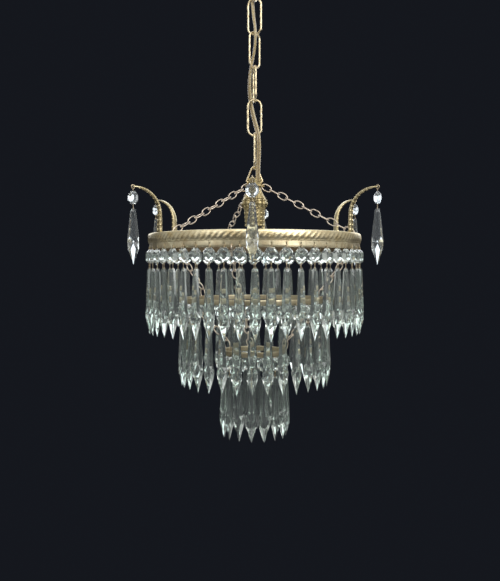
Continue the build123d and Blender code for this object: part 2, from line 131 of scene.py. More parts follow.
# ---- shader helpers ------------------------------------------------------------------------------
class Value:
    """A shader socket that Python arithmetic can be written on; each step adds a Math node."""

    def __init__(self, tree, socket):
        self.tree = tree
        self.socket = socket

    def _math(self, operation, *terms, clamp=False):
        node = self.tree.nodes.new("ShaderNodeMath")
        node.operation = operation
        node.use_clamp = clamp
        for slot, term in zip(node.inputs, terms):
            if isinstance(term, Value):
                self.tree.links.new(term.socket, slot)
            else:
                slot.default_value = term
        return Value(self.tree, node.outputs[0])

    def __add__(self, other):
        return self._math("ADD", self, other)

    def __sub__(self, other):
        return self._math("SUBTRACT", self, other)

    def __mul__(self, other):
        return self._math("MULTIPLY", self, other)

    def __pow__(self, other):
        return self._math("POWER", self, other)

    def held(self):
        """Kept between 0 and 1."""
        return self._math("ADD", self, 0.0, clamp=True)

    def sine(self):
        return self._math("SINE", self)


class Finish:
    """A material whose node tree is written a line at a time."""

    def __init__(self, name):
        self.material = bpy.data.materials.new(name)
        self.material.use_nodes = True
        self.tree = self.material.node_tree
        self.tree.nodes.clear()
        self.out = self.tree.nodes.new("ShaderNodeOutputMaterial")

    def node(self, kind, settings=None, **sockets):
        """Any node: settings first, then the values or links of its sockets by name."""
        node = self.tree.nodes.new("ShaderNode" + kind)
        for key, value in (settings or {}).items():
            if key == "stops":
                ramp = node.color_ramp
                while len(ramp.elements) < len(value):
                    ramp.elements.new(0.5)
                for element, (place, colour) in zip(ramp.elements, value):
                    element.position = place
                    element.color = (*colour, 1.0)
            else:
                setattr(node, key, value)
        for key, value in sockets.items():
            slot = node.inputs[int(key[1:])] if key[0] == "_" else node.inputs[key.replace("_", " ")]
            if isinstance(value, Value):
                self.tree.links.new(value.socket, slot)
            else:
                slot.default_value = value
        return node

    def value(self, node, output=0):
        return Value(self.tree, node.outputs[output])

    def place(self):
        """Object coordinates, in metres."""
        return self.value(self.node("TexCoord"), "Object")

    def noise(self, size_mm, detail=3.0, roughness=0.55):
        """Cloudy noise whose blots are about size_mm across, from 0 to 1."""
        scale = 1 / (size_mm * MM)
        node = self.node("TexNoise", Vector=self.place(), Scale=scale, Detail=detail, Roughness=roughness)
        return self.value(node)

    def inwards(self):
        """1 on faces that look at the object's upright axis, 0 on those that look away from it."""
        coordinates = self.node("TexCoord")
        place, normal = self.value(coordinates, "Object"), self.value(coordinates, "Normal")
        level = self.node("VectorMath", {"operation": "MULTIPLY"}, _0=place, _1=(1, 1, 0))
        spoke = self.node("VectorMath", {"operation": "NORMALIZE"}, _0=self.value(level))
        facing = self.node("VectorMath", {"operation": "DOT_PRODUCT"}, _0=self.value(spoke), _1=normal)
        return (self.value(facing, "Value") * -3.0).held()

    def attribute(self, name):
        """A number that the mesh keeps at each of its points."""
        return self.value(self.node("Attribute", {"attribute_name": name}), "Fac")

    def mix(self, share, first, second):
        """One colour turning into another."""
        node = self.node("Mix", {"data_type": "RGBA"})
        for slot, value in ((0, share), (6, first), (7, second)):
            if isinstance(value, Value):
                self.tree.links.new(value.socket, node.inputs[slot])
            else:
                node.inputs[slot].default_value = value if slot == 0 else (*value, 1.0)
        return Value(self.tree, node.outputs[2])

    def bump(self, height, depth_mm, strength):
        return self.value(self.node("Bump", Height=height, Distance=depth_mm * MM, Strength=strength))

    def surface(self, **sockets):
        shader = self.node("BsdfPrincipled", None, **sockets)
        self.tree.links.new(shader.outputs[0], self.out.inputs[0])
        return self.material


def gilt(name, bright, dull, pit_and_shade, grain_mm, rough=0.26, hollow_shade_and_dirt=0.0, hammered=0.0, inner_shade=0.0):
    """Aged gilt brass: bright on the high places, browner and rougher in the blots and in the hollows,
    where painted shade goes with dirt; faces that look in towards the axis take painted shade.
    """
    f = Finish(name)
    cloud = f.noise(9.0, 4.0)
    grain = f.noise(grain_mm, 2.0)
    wear = ((cloud - 0.42) * 2.6).held()
    colour = f.mix(wear, bright, dull)
    specks = ((f.noise(1.6, 3.0, 0.7) - 0.60) * 6.0).held()
    dirt_and_shade = (specks * 0.45).held()
    # painted shade with dirt: points that the mesh marks as hollow are painted darker and browner
    if hollow_shade_and_dirt:
        dirt_and_shade = (dirt_and_shade + f.attribute("hollow") * hollow_shade_and_dirt).held()
    # painted shade: faces that look in towards the axis are painted darker
    if inner_shade:
        dirt_and_shade = (dirt_and_shade + f.inwards() * inner_shade).held()
    colour = f.mix(dirt_and_shade, colour, pit_and_shade)
    roughness = (wear * 0.12 + dirt_and_shade * 0.30 + rough + grain * 0.06).held()
    height = grain * 0.35 + cloud * 0.2
    if hammered:
        scale = 1 / (hammered * MM)
        marks = f.node("TexVoronoi", {"feature": "SMOOTH_F1"}, Vector=f.place(), Scale=scale)
        height = height + f.value(marks) * 0.9
    return f.surface(
        Base_Color=colour, Metallic=1.0, Roughness=roughness, Normal=f.bump(height, 0.25, 0.45)
    )


def cut_glass(name, clean, dusty, rough):
    """Old cut glass: mostly clear, with a thin film of dust that is thicker in cloudy patches."""
    f = Finish(name)
    film = ((f.noise(11.0, 4.0, 0.65) - 0.40) * 2.4).held()
    return f.surface(
        Base_Color=f.mix(film, clean, dusty),
        Roughness=film * 0.05 + rough,
        IOR=1.56,
        Transmission_Weight=0.94,
        Normal=f.bump(f.noise(4.0, 2.0), 0.06, 0.3),
    )


band_gilt = gilt(
    "band_gilt", (0.93, 0.82, 0.54), (0.66, 0.50, 0.23), (0.15, 0.09, 0.03), 0.7,
    rough=0.30, hollow_shade_and_dirt=0.8, inner_shade=0.8,
)
arm_gilt = gilt(
    "arm_gilt", (0.82, 0.72, 0.45), (0.55, 0.45, 0.22), (0.17, 0.12, 0.05), 0.8, rough=0.26, hollow_shade_and_dirt=0.75
)
crown_gilt = gilt(
    "crown_gilt", (0.72, 0.60, 0.33), (0.42, 0.33, 0.14), (0.11, 0.08, 0.03), 0.7, rough=0.28, hollow_shade_and_dirt=0.9
)
strip_brass = gilt(
    "strip_brass", (0.90, 0.80, 0.54), (0.58, 0.44, 0.24), (0.11, 0.07, 0.04), 0.6, rough=0.34, inner_shade=0.9
)
ring_brass = gilt("ring_brass", (0.66, 0.57, 0.39), (0.40, 0.32, 0.20), (0.13, 0.08, 0.04), 0.6, rough=0.34)
chain_gilt = gilt(
    "chain_gilt", (0.90, 0.77, 0.50), (0.66, 0.51, 0.28), (0.20, 0.13, 0.06), 0.9, rough=0.24, hammered=2.4
)
small_chain = gilt("small_chain", (0.78, 0.68, 0.56), (0.52, 0.42, 0.33), (0.16, 0.10, 0.06), 0.5, rough=0.30)
pin_wire = gilt("pin_wire", (0.58, 0.49, 0.34), (0.38, 0.30, 0.19), (0.15, 0.10, 0.06), 0.5, rough=0.30)
fitting_gilt = gilt(
    "fitting_gilt", (0.80, 0.64, 0.36), (0.60, 0.44, 0.21), (0.16, 0.10, 0.05), 1.2, rough=0.32
)
crystal = cut_glass("crystal", (0.89, 0.96, 0.91), (0.71, 0.78, 0.72), 0.03)
pendant_crystal = cut_glass("pendant_crystal", (0.74, 0.79, 0.80), (0.54, 0.59, 0.58), 0.05)


def holder_finish():
    """Dark moulded holder with a faint mould grain."""
    f = Finish("holder_shell")
    grain = f.noise(0.9, 2.0)
    colour = f.mix(f.noise(6.0), (0.055, 0.045, 0.035), (0.09, 0.07, 0.055))
    return f.surface(Base_Color=colour, Roughness=grain * 0.15 + 0.42, Normal=f.bump(grain, 0.1, 0.3))


def flex_finish():
    """Gold-brown sheath over two cores: painted shade in the groove, faint slanting bands under the gloss."""
    f = Finish("flex_sheath")
    run = f.node("SeparateXYZ", Vector=f.value(f.node("UVMap", {"uv_map": "run"})))
    across, lay = f.value(run, 0), f.value(run, 1)
    strands = ((lay * 1400.0 + across * TAU * 2).sine() * 0.5 + 0.5).held()
    groove_shade = (((across * TAU).sine() ** 2) * 1.6 - 0.6).held()
    colour = f.mix(strands * 0.6, (0.30, 0.23, 0.10), (0.42, 0.34, 0.17))
    blots = ((f.noise(7.0, 3.0) - 0.45) * 2.0).held()
    colour = f.mix(blots * 0.5, colour, (0.22, 0.15, 0.06))
    # painted shade: the groove between the two cores is painted dark
    colour = f.mix(groove_shade * 0.8, colour, (0.13, 0.08, 0.03))
    return f.surface(
        Base_Color=colour,
        Roughness=blots * 0.1 + 0.2,
        Coat_Weight=0.6,
        Coat_Roughness=0.08,
        Normal=f.bump(strands, 0.12, 0.35),
    )


holder_shell = holder_finish()
flex_sheath = flex_finish()


# ---- mesh helpers --------------------------------------------------------------------------------
def make_piece(name, points, faces, body, finish, slot, nodes=(), smooth=True, hollow=None, uv=None):
    """One mesh object in metres from points in millimetres; it rides and replaces; slot is not used."""
    mesh = bpy.data.meshes.new(name)
    mesh.from_pydata((np.asarray(points, float).reshape(-1, 3) * MM).tolist(), [], faces)
    mesh.update()
    mesh.polygons.foreach_set("use_smooth", np.full(len(mesh.polygons), smooth))
    # hollow: how much painted shade and dirt the gilt finishes lay on each point
    if hollow is not None:
        layer = mesh.attributes.new("hollow", "FLOAT", "POINT")
        layer.data.foreach_set("value", np.asarray(hollow, np.float32).ravel())
    if uv is not None:
        layer = mesh.uv_layers.new(name="run")
        corners = np.zeros(len(mesh.loops), np.int32)
        mesh.loops.foreach_get("vertex_index", corners)
        layer.data.foreach_set("uv", np.asarray(uv, np.float32).reshape(-1, 2)[corners].ravel())
    mesh.materials.append(finish)
    piece = bpy.data.objects.new(name, mesh)
    bpy.context.scene.collection.objects.link(piece)
    if body:
        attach(piece, body)
    if nodes:
        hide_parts(*nodes)
    return piece


def lattice(rows, columns, close_rows=False, close_columns=True):
    """Quads over a grid of points numbered row by row."""
    r = np.arange(rows if close_rows else rows - 1)
    c = np.arange(columns if close_columns else columns - 1)
    i, j = np.meshgrid(r, c, indexing="ij")
    i2, j2 = (i + 1) % rows, (j + 1) % columns
    quads = np.stack([i * columns + j, i * columns + j2, i2 * columns + j2, i2 * columns + j], -1)
    return quads.reshape(-1, 4).tolist()


def capped(rows, columns):
    """The faces of a lattice of closed rows, with a face over its first row and one over its last."""
    last = (rows - 1) * columns
    return lattice(rows, columns) + [list(range(columns))[::-1], list(range(last, last + columns))]


def outward(points, faces):
    """Turns every face over if the closed shell's volume comes out negative."""
    p = np.asarray(points, float).reshape(-1, 3)
    total = 0.0
    for size in {len(f) for f in faces}:
        f = np.array([g for g in faces if len(g) == size])
        for k in range(1, size - 1):
            a, b, c = p[f[:, 0]], p[f[:, k]], p[f[:, k + 1]]
            total += np.einsum("ij,ij->i", a, np.cross(b, c)).sum()
    return faces if total > 0 else [f[::-1] for f in faces]


def scatter(points, faces, turns, places):
    """Copies of one small shape: every turn (3x3) and place makes one more."""
    many = np.einsum("kij,nj->kni", turns, points) + np.asarray(places)[:, None]
    step = len(points)
    many_faces = [[v + k * step for v in f] for k in range(len(places)) for f in faces]
    return many.reshape(-1, 3), many_faces


def all_round(count):
    """Angles in radians, evenly round a circle."""
    return np.linspace(0, TAU, count, endpoint=False)


def about_z(bearing):
    """The 3x3 turn that takes local -Y to face outwards at a bearing."""
    t = math.radians(bearing)
    return np.array([[math.cos(t), -math.sin(t), 0], [math.sin(t), math.cos(t), 0], [0, 0, 1.0]])


def on_circle(radius, bearing, z):
    """The point at a radius, a bearing in degrees from -Y, and a height."""
    t = math.radians(bearing)
    return np.array([radius * math.sin(t), -radius * math.cos(t), z])


def round_axis(radius, angle, z):
    """The same for whole grids, with angles in radians."""
    return np.stack([radius * np.sin(angle), -radius * np.cos(angle), z], -1)


def tube(path, radius, sides=12, closed=False, flat=(0, 1, 0), twist=0.0, ripple=None):
    """A wire along a path: at each point a ring of the given radius lies across the path's tangent.

    The ring's first axis is the tangent crossed with flat, kept steady along the path; twist turns
    the ring about the tangent. ripple, if given, adds to the radius at each grid point."""
    path = np.asarray(path, float)
    count = len(path)
    if closed:
        tangent = np.roll(path, -1, 0) - np.roll(path, 1, 0)
    else:
        tangent = np.gradient(path, axis=0)
    tangent /= np.linalg.norm(tangent, axis=1)[:, None]
    side = np.cross(tangent, flat)
    side /= np.linalg.norm(side, axis=1)[:, None]
    rise = np.cross(side, tangent)
    radius, turn = np.broadcast_to(radius, count)[:, None], np.broadcast_to(twist, count)[:, None]
    angle = TAU * np.arange(sides) / sides
    x, y = radius * np.cos(angle), radius * np.sin(angle)
    if ripple is not None:
        x, y = x + ripple * np.cos(angle), y + ripple * np.sin(angle)
    c, s = np.cos(turn), np.sin(turn)
    points = (
        path[:, None]
        + side[:, None] * (x * c - y * s)[..., None]
        + rise[:, None] * (x * s + y * c)[..., None]
    )
    points = points.reshape(-1, 3)
    return points, outward(points, lattice(count, sides, True) if closed else capped(count, sides))


def join(parts):
    """Several (points, faces) as one."""
    points, faces, offset = [], [], 0
    for p, f in parts:
        points.append(p)
        faces += [[v + offset for v in g] for g in f]
        offset += len(p)
    return np.concatenate(points), faces


def swept_profile(profile, angles, relief):
    """A closed ring: profile is a closed loop of (radius, z); relief is how far each grid point is
    pushed along the profile's outward normal, in millimetres, as an array of angles by profile."""
    profile = np.asarray(profile, float)
    along = np.roll(profile, -1, 0) - np.roll(profile, 1, 0)
    normal = np.stack([along[:, 1], -along[:, 0]], 1)
    normal /= np.linalg.norm(normal, axis=1)[:, None]
    loop = profile[None] + normal[None] * relief[..., None]
    points = round_axis(loop[..., 0], angles[:, None], loop[..., 1]).reshape(-1, 3)
    return points, outward(points, lattice(len(angles), len(profile), close_rows=True))


# ---- the stamped band ----------------------------------------------------------------------------
band_bottom, band_top = heights("top_band")
band_outer = span("top_band")[1][0]


def rounded(loop):
    """A closed loop of corner points turned into a smooth one by cutting its corners twice."""
    loop = np.asarray(loop, float)
    for _ in range(2):
        after = np.roll(loop, -1, 0)
        loop = np.stack([loop * 0.75 + after * 0.25, loop * 0.25 + after * 0.75], 1).reshape(-1, 2)
    return loop


def slow_noise(chance, angles, count):
    """Random values at count places round the ring, run smoothly into one another; -1 to 1."""
    values = np.append(chance.uniform(-1, 1, count), 0.0)
    return np.interp(angles, np.linspace(0, TAU, count + 1), values)


def build_band():
    """The band's section is a flat lip that rolls over into a bulged face. On the face slanting ribs
    stand proud: height = |cos(ribs / 2 x angle + slant x depth)| ^ power, faded at both edges."""
    rib_points, rib_height, rib_slant, rib_power = 10, 0.46, 5.4, 0.75
    knock_points = 5
    wall = band_inner
    outer = band_outer - 0.9
    loop = rounded([
        (wall - band_lip, band_top - 1.2), (wall - band_lip, band_top), (wall - 2.0, band_top),
        (wall + 0.6, band_top - 0.3), (outer - 0.5, band_top - 1.6), (outer, band_top - 4.2),
        (outer, band_top - 7.4), (outer - 0.7, band_top - 9.8), (wall + 0.8, band_bottom),
        (wall, band_bottom), (wall, band_top - 5.0), (wall, band_top - 1.2),
    ])
    angles = all_round(gadroons * rib_points)
    face = np.clip((loop[:, 0] - wall - 0.4) / 1.6, 0, 1)
    depth = (band_top - loop[:, 1]) / (band_top - band_bottom)
    fade = face * np.clip(depth * 3, 0, 1) * np.clip((1 - depth) * 7, 0, 1)
    drift = slow_noise(np.random.default_rng(3), angles, 48)
    phase = angles[:, None] * gadroons / 2 + drift[:, None] * 0.5 + depth[None] * rib_slant
    rib = np.abs(np.cos(phase)) ** rib_power
    chance = np.random.default_rng(7)
    wobble = slow_noise(chance, angles, 60)
    knocks = np.repeat(chance.normal(0, 1, (len(angles) // knock_points, len(loop))), knock_points, axis=0)
    knocks = knocks * 0.5 + np.roll(knocks, 3, axis=0) * 0.5
    relief = fade[None] * ((rib * rib_height - 0.05) * (1 + 0.35 * wobble[:, None]) + 0.06 * knocks)
    points, faces = swept_profile(loop, angles, relief)
    make_piece(
        "gadrooned_band", points, faces, "chandelier", band_gilt, "band_gilt", ["top_band"],
        hollow=fade[None] * (1 - rib) ** 1.5,
    )


build_band()


# ---- the three strips ----------------------------------------------------------------------------
def build_strip(name, node, tier, slits):
    """A rolled strip as a grid of columns round the ring and rows down it. Slit columns are left
    out of the lower rows, and each tab tilts and cups by a seeded share of a millimetre; the sheet
    then gets its thickness and a softened edge."""
    tab_middle, bow, skew, play = 2.7, 0.35, 0.16, 0.02
    bottom, top = heights(node)
    radius = ring_radii[tier]
    if slits:
        count, turn = tier_counts[tier], 0.0
        half = slit_width / 2 / radius
        edges = np.array([-half, half] + list(np.linspace(half, TAU / count - half, 9)[1:-1]))
        rows = np.array([top, bottom + slit_height, bottom + tab_middle, bottom])
    else:
        count, turn = ring_sides[tier], math.radians(tier_turns[tier])
        edges = np.linspace(-0.5, 0.5, 6, endpoint=False) / count * TAU
        rows = np.linspace(top, bottom, 4)
    angles = (np.arange(count)[:, None] * TAU / count + edges[None]).ravel() + turn
    a, z = np.meshgrid(angles, rows, indexing="ij")
    flare = bow * ((z - bottom) / (top - bottom) - 0.5) ** 2
    chance = np.random.default_rng(11 + tier)
    tilt, cup = chance.normal(0, skew, (2, count)).repeat(len(edges), axis=1)[..., None]
    if slits:
        hang = np.clip((bottom + slit_height - z) / slit_height, 0, 1)
    else:
        hang = (top - z) / (top - bottom)
    r = radius - play - flare + (tilt + cup * hang) * hang * (1.0 if slits else 0.5)
    faces = lattice(len(angles), len(rows), close_rows=True, close_columns=False)
    if slits:
        faces = [f for f in faces if f[0] // len(rows) % len(edges) or f[0] % len(rows) == 0]
    piece = make_piece(
        name, round_axis(r, a, z), faces, "chandelier", strip_brass if slits else ring_brass, "strip_brass",
        [node],
    )
    normals = np.array([p.normal[:] for p in piece.data.polygons])
    spokes = np.array([p.center[:] for p in piece.data.polygons]) * (1, 1, 0)
    if np.einsum("ij,ij->i", normals, spokes).sum() < 0:
        piece.data.flip_normals()
    wall = piece.modifiers.new("wall", "SOLIDIFY")
    wall.thickness = ring_wall * MM
    wall.offset = -1.0
    soft = piece.modifiers.new("soft_edge", "BEVEL")
    soft.width = 0.18 * MM
    soft.segments = 2
    soft.limit_method = "ANGLE"


build_strip("slit_strip", "top_strip", 0, True)
build_strip("middle_strip", "middle_ring", 1, False)
build_strip("bottom_strip", "bottom_ring", 2, False)


# ---- glass ---------------------------------------------------------------------------------------
def hexagon(radius, z, stretch, start=0.0):
    """Six points round an oval at one height; start turns them by a share of a side."""
    a = TAU * (np.arange(6) + start) / 6
    return np.stack([radius * np.cos(a), radius * stretch * np.sin(a), np.full(6, z)], 1)


def icicle_shape(length, top_width, width, point):
    """A six-sided prism: a bevelled head and a body that widens downwards. At its lower end the six
    sides turn by half a side and back again, through two belts of triangles, before the point."""
    head, belt_top, belt_middle, stretch = 3.4, 31.0, 24.5, 0.76
    w, t = width / 2, top_width / 2
    rings = [
        hexagon(t * 0.70, 0.0, stretch),
        hexagon(t * 1.03, -head, stretch),
        hexagon(w * 0.985, belt_top - length, stretch),
        hexagon(w * 1.13, belt_middle - length, stretch * 0.86, 0.5),
        hexagon(w * 0.96, point - 2.0 - length, stretch),
    ]
    points = np.vstack(rings + [[(0, 0, -length)]])
    faces = lattice(3, 6) + [list(range(6))[::-1]]
    for k in range(6):
        n = (k + 1) % 6
        faces += [[12 + k, 12 + n, 18 + k], [18 + k, 12 + n, 18 + n]]
        faces += [[18 + k, 18 + n, 24 + n], [18 + k, 24 + n, 24 + k]]
        faces.append([24 + k, 24 + n, 30])
    return points, outward(points, faces)


def bead_shape(width, height, thickness):
    """An octagonal button: a flat table and two rows of facets in front, a thin girdle, and a
    back cut to a small flat. The top edge is at the origin and the table faces -Y."""
    def octagon(share, y):
        """Eight points round the button, at a share of its size and a depth."""
        a = math.pi / 8 + np.arange(8) * math.pi / 4
        k = share / math.cos(math.pi / 8)
        x, z = width / 2 * k * np.cos(a), height / 2 * k * np.sin(a)
        return np.stack([x, np.full(8, y), z], 1)

    half, girdle = thickness / 2, 0.35
    points = np.concatenate([
        octagon(0.58, -half), octagon(0.83, -half * 0.6), octagon(1.0, -girdle), octagon(1.0, girdle),
        octagon(0.52, half),
    ])
    return points - np.array([0, 0, height / 2]), outward(points, capped(5, 8))


def wire_pin(height, wire=0.34, loop=1.5):
    """A bow-tie pin: a thin wire from one hole to the next with a small flattened eye at each end."""
    t = all_round(8)
    top = np.stack([loop * 0.6 * np.sin(t), 0 * t, -loop * 0.2 + loop * np.cos(t) - loop], 1)
    low = top.copy()
    low[:, 2] = -height - top[:, 2]
    stem = [(0, 0, -loop * 1.1), (0, 0, -height + loop * 1.1)]
    return join([tube(top, wire, 4, True), tube(low, wire, 4, True), tube(stem, wire, 4)])


def build_tiers():
    """Every drop keeps its place; each glass is turned a hair on its pin, as hand-hung ones are."""
    chance = np.random.default_rng(21)
    bead, icicle = bead_shape(*bead_size), icicle_shape(*icicle_size)
    pin_lap, hook_height, hook_rise = 1.7, 4.6, 3.2
    pin, hook = wire_pin(pin_height + 2 * pin_lap), wire_pin(hook_height, loop=1.2)
    for tier, name in enumerate(("top", "middle", "bottom")):
        count, radius = tier_counts[tier], ring_radii[tier] + drop_offset
        bead_top, drop_top = heights(f"{name}_beads")[1], heights(f"{name}_icicles")[1]
        bearings = [tier_turns[tier] + 360 * k / count for k in range(count)]
        places = np.array([on_circle(radius, b, 0.0) for b in bearings])
        bead_turns = [about_z(b + d) for b, d in zip(bearings, chance.uniform(-5, 5, count))]
        drop_turns = [about_z(b + d) for b, d in zip(bearings, chance.uniform(-13, 13, count))]
        straight = [about_z(b) for b in bearings]
        for kind, shape, turns, z in (
            ("beads", bead, bead_turns, bead_top), ("icicles", icicle, drop_turns, drop_top)
        ):
            make_piece(
                f"{name}_cut_{kind}", *scatter(*shape, turns, places + UP * z), "chandelier", crystal,
                "crystal", [f"{name}_{kind}"], smooth=False,
            )
        wires = join([
            scatter(*pin, straight, places + UP * (drop_top + pin_height + pin_lap)),
            scatter(*hook, straight, places + UP * (bead_top + hook_rise)),
        ])
        make_piece(f"{name}_wire_pins", *wires, "chandelier", pin_wire, "pin_wire", [f"{name}_pins"])


build_tiers()


# ---- arms ----------------------------------------------------------------------------------------
arm_radius = band_inner - arm_inset


def build_arm(index, bearing):
    """A bar along an upright line that bends outwards and thins to its tip. Its section is a rounded
    oblong: radius = (|cos / half-width|^n + |sin / half-depth|^n)^(-1/n). Round beads stand in a row
    down the outer side and in a smaller row down each flank; the inner side is smooth."""
    sides, power, pearl_radius, flank_radius = 44, 3.4, 1.5, 1.25
    bend = np.linspace(0, math.pi / 2, 90)
    straight = np.stack([np.zeros(42), np.linspace(0, arm_upright, 42, endpoint=False)], 1)
    curve = np.stack([arm_bend * (1 - np.cos(bend)), arm_upright + arm_bend * np.sin(bend)], 1)
    tip = np.linspace(arm_bend, arm_bend + arm_tip_run, 5)[1:]
    line = np.concatenate([straight, curve, np.stack([tip, np.full(4, arm_upright + arm_bend)], 1)])
    step = np.linalg.norm(np.diff(line, axis=0), axis=1)
    along = np.append(0, np.cumsum(step))
    share = (along / along[-1])[:, None]
    tangent = np.gradient(line, axis=0)
    tangent /= np.linalg.norm(tangent, axis=1)[:, None]
    outer = np.stack([tangent[:, 1], -tangent[:, 0]], 1)
    half_width = (arm_root_width + (arm_tip_width - arm_root_width) * share) / 2
    half_depth = (arm_root_depth + (arm_tip_depth - arm_root_depth) * share) / 2
    around = (TAU * np.arange(sides) / sides)[None]
    reach = np.abs(np.cos(around) / half_width) ** power + np.abs(np.sin(around) / half_depth) ** power
    reach = reach ** (-1 / power)
    side, rise = reach * np.cos(around), reach * np.sin(around)
    rise = np.where(rise < 0, rise, rise * 0.72)
    fade = np.clip((0.95 - share) * 12, 0, 1)
    from_bead = (along[:, None] % arm_bead_step) - arm_bead_step / 2
    large = pearl_radius * np.clip(half_width / 4.0, 0.6, 1)
    small = flank_radius * np.clip(half_depth / 2.4, 0.4, 1)
    outside, beside = np.sin(around) > 0.2, np.abs(np.sin(around)) < 0.93
    pearl = np.clip(1 - (from_bead ** 2 + side ** 2) / large ** 2, 0, 1) ** 0.5 * outside
    flank = np.clip(1 - (from_bead ** 2 + (rise - 0.15 * half_depth) ** 2) / small ** 2, 0, 1) ** 0.5 * beside
    rim = np.exp(-(((np.abs(side) / half_width - 0.80) / 0.10) ** 2)) * outside
    side = side + np.sign(side) * flank * small * 0.62 * fade
    rise = rise + (pearl * large * 0.95 + rim * 0.3) * fade
    section = line[:, None] + outer[:, None] * rise[..., None]
    local = np.stack([side, -section[..., 0], section[..., 1]], -1)
    points = local.reshape(-1, 3) @ about_z(bearing).T + on_circle(arm_radius, bearing, band_top)
    # painted shade: round the beads, down the flanks and on the outer side the gilt is painted darker, which
    # leaves the bead tops and the smooth inner side bright
    hollow = np.clip(1 - 1.5 * np.maximum(pearl, flank) - rim, 0, 1) * fade
    hollow = hollow * np.clip(np.sin(around) + 0.75, 0, 1)
    make_piece(
        f"beaded_arm_{index}", points, outward(points, capped(len(line), sides)), "chandelier", arm_gilt,
        "arm_gilt", [f"arm_{index}"], hollow=hollow,
    )


def build_pendant(index, bearing, bead_turn, spear_turn):
    """An arm's swinging drop: wire ring and stem, cut bead, bow-tie pin and spear."""
    pin_lap, stem_sink = 1.6, 0.6
    bead_bottom, bead_top = heights(f"pendant_bead_{index}")
    spear_top = heights(f"pendant_spear_{index}")[1]
    reach = arm_bend + arm_tip_run - hook_hole_inset + hook_radius
    hook_x, pivot_z = arm_radius + reach, band_top + arm_upright + arm_bend
    t = all_round(24)
    ring = np.stack([0 * t, hook_radius * np.cos(t), hook_radius * np.sin(t)], 1)
    stem = [(0, 0, -hook_radius), (0, 0, bead_top - pivot_z - stem_sink)]
    pin_points, pin_faces = wire_pin(bead_bottom - spear_top + 2 * pin_lap, 0.36, 1.4)
    metal = join([
        tube(ring, 0.45, 8, True, flat=(1, 0, 0)),
        tube(stem, 0.4, 8),
        (pin_points + UP * (bead_bottom - pivot_z + pin_lap), pin_faces),
    ])
    body = f"pendant_{index}"
    p, f = scatter(*metal, [about_z(bearing)], [on_circle(hook_x, bearing, pivot_z)])
    make_piece(f"drop_wire_{index}", p, f, body, pin_wire, "pin_wire", [f"pendant_hook_{index}"])
    for kind, shape, turn, z in (
        ("bead", bead_shape(*pendant_bead_size), bead_turn, bead_top),
        ("spear", icicle_shape(*spear_size), spear_turn, spear_top),
    ):
        p, f = scatter(*shape, [about_z(bearing + turn)], [on_circle(hook_x, bearing, z)])
        make_piece(
            f"drop_{kind}_{index}", p, f, body, pendant_crystal, "crystal", [f"pendant_{kind}_{index}"],
            smooth=False,
        )


for index, (bearing, *turns) in enumerate(zip(arm_bearings, pendant_bead_turns, spear_turns), 1):
    build_arm(index, bearing)
    build_pendant(index, bearing, *turns)


# ---- crown ---------------------------------------------------------------------------------------
def turned(profile, relief, name, node, hollow_at):
    """A closed turned shape: profile is (radius, z) from the middle of the top, down the outside, to
    the middle of the underside; relief(angle, share) pushes each point outwards."""
    columns = 240
    profile = np.asarray(profile, float)
    steps = np.linalg.norm(np.diff(profile, axis=0), axis=1)
    place = np.append(0, np.cumsum(steps)) / steps.sum()
    share = np.unique(np.concatenate([np.linspace(0, 1, 64), place]))
    r, z = np.interp(share, place, profile[:, 0]), np.interp(share, place, profile[:, 1])
    a = all_round(columns)
    push = relief(a[None], share[:, None])
    edge = np.clip(r / 3.0, 0, 1)[:, None]
    radius = r[:, None] + push * edge
    points = round_axis(radius, a, np.broadcast_to(z[:, None], radius.shape)).reshape(-1, 3)
    *faces, first, last = capped(len(share), columns)
    faces += [first[::-1], last[::-1]]
    hollow = hollow_at(a[None], share[:, None]) + 0 * push
    make_piece(
        name, points, outward(points, faces), "chandelier", crown_gilt, "crown_gilt", [node], hollow=hollow
    )


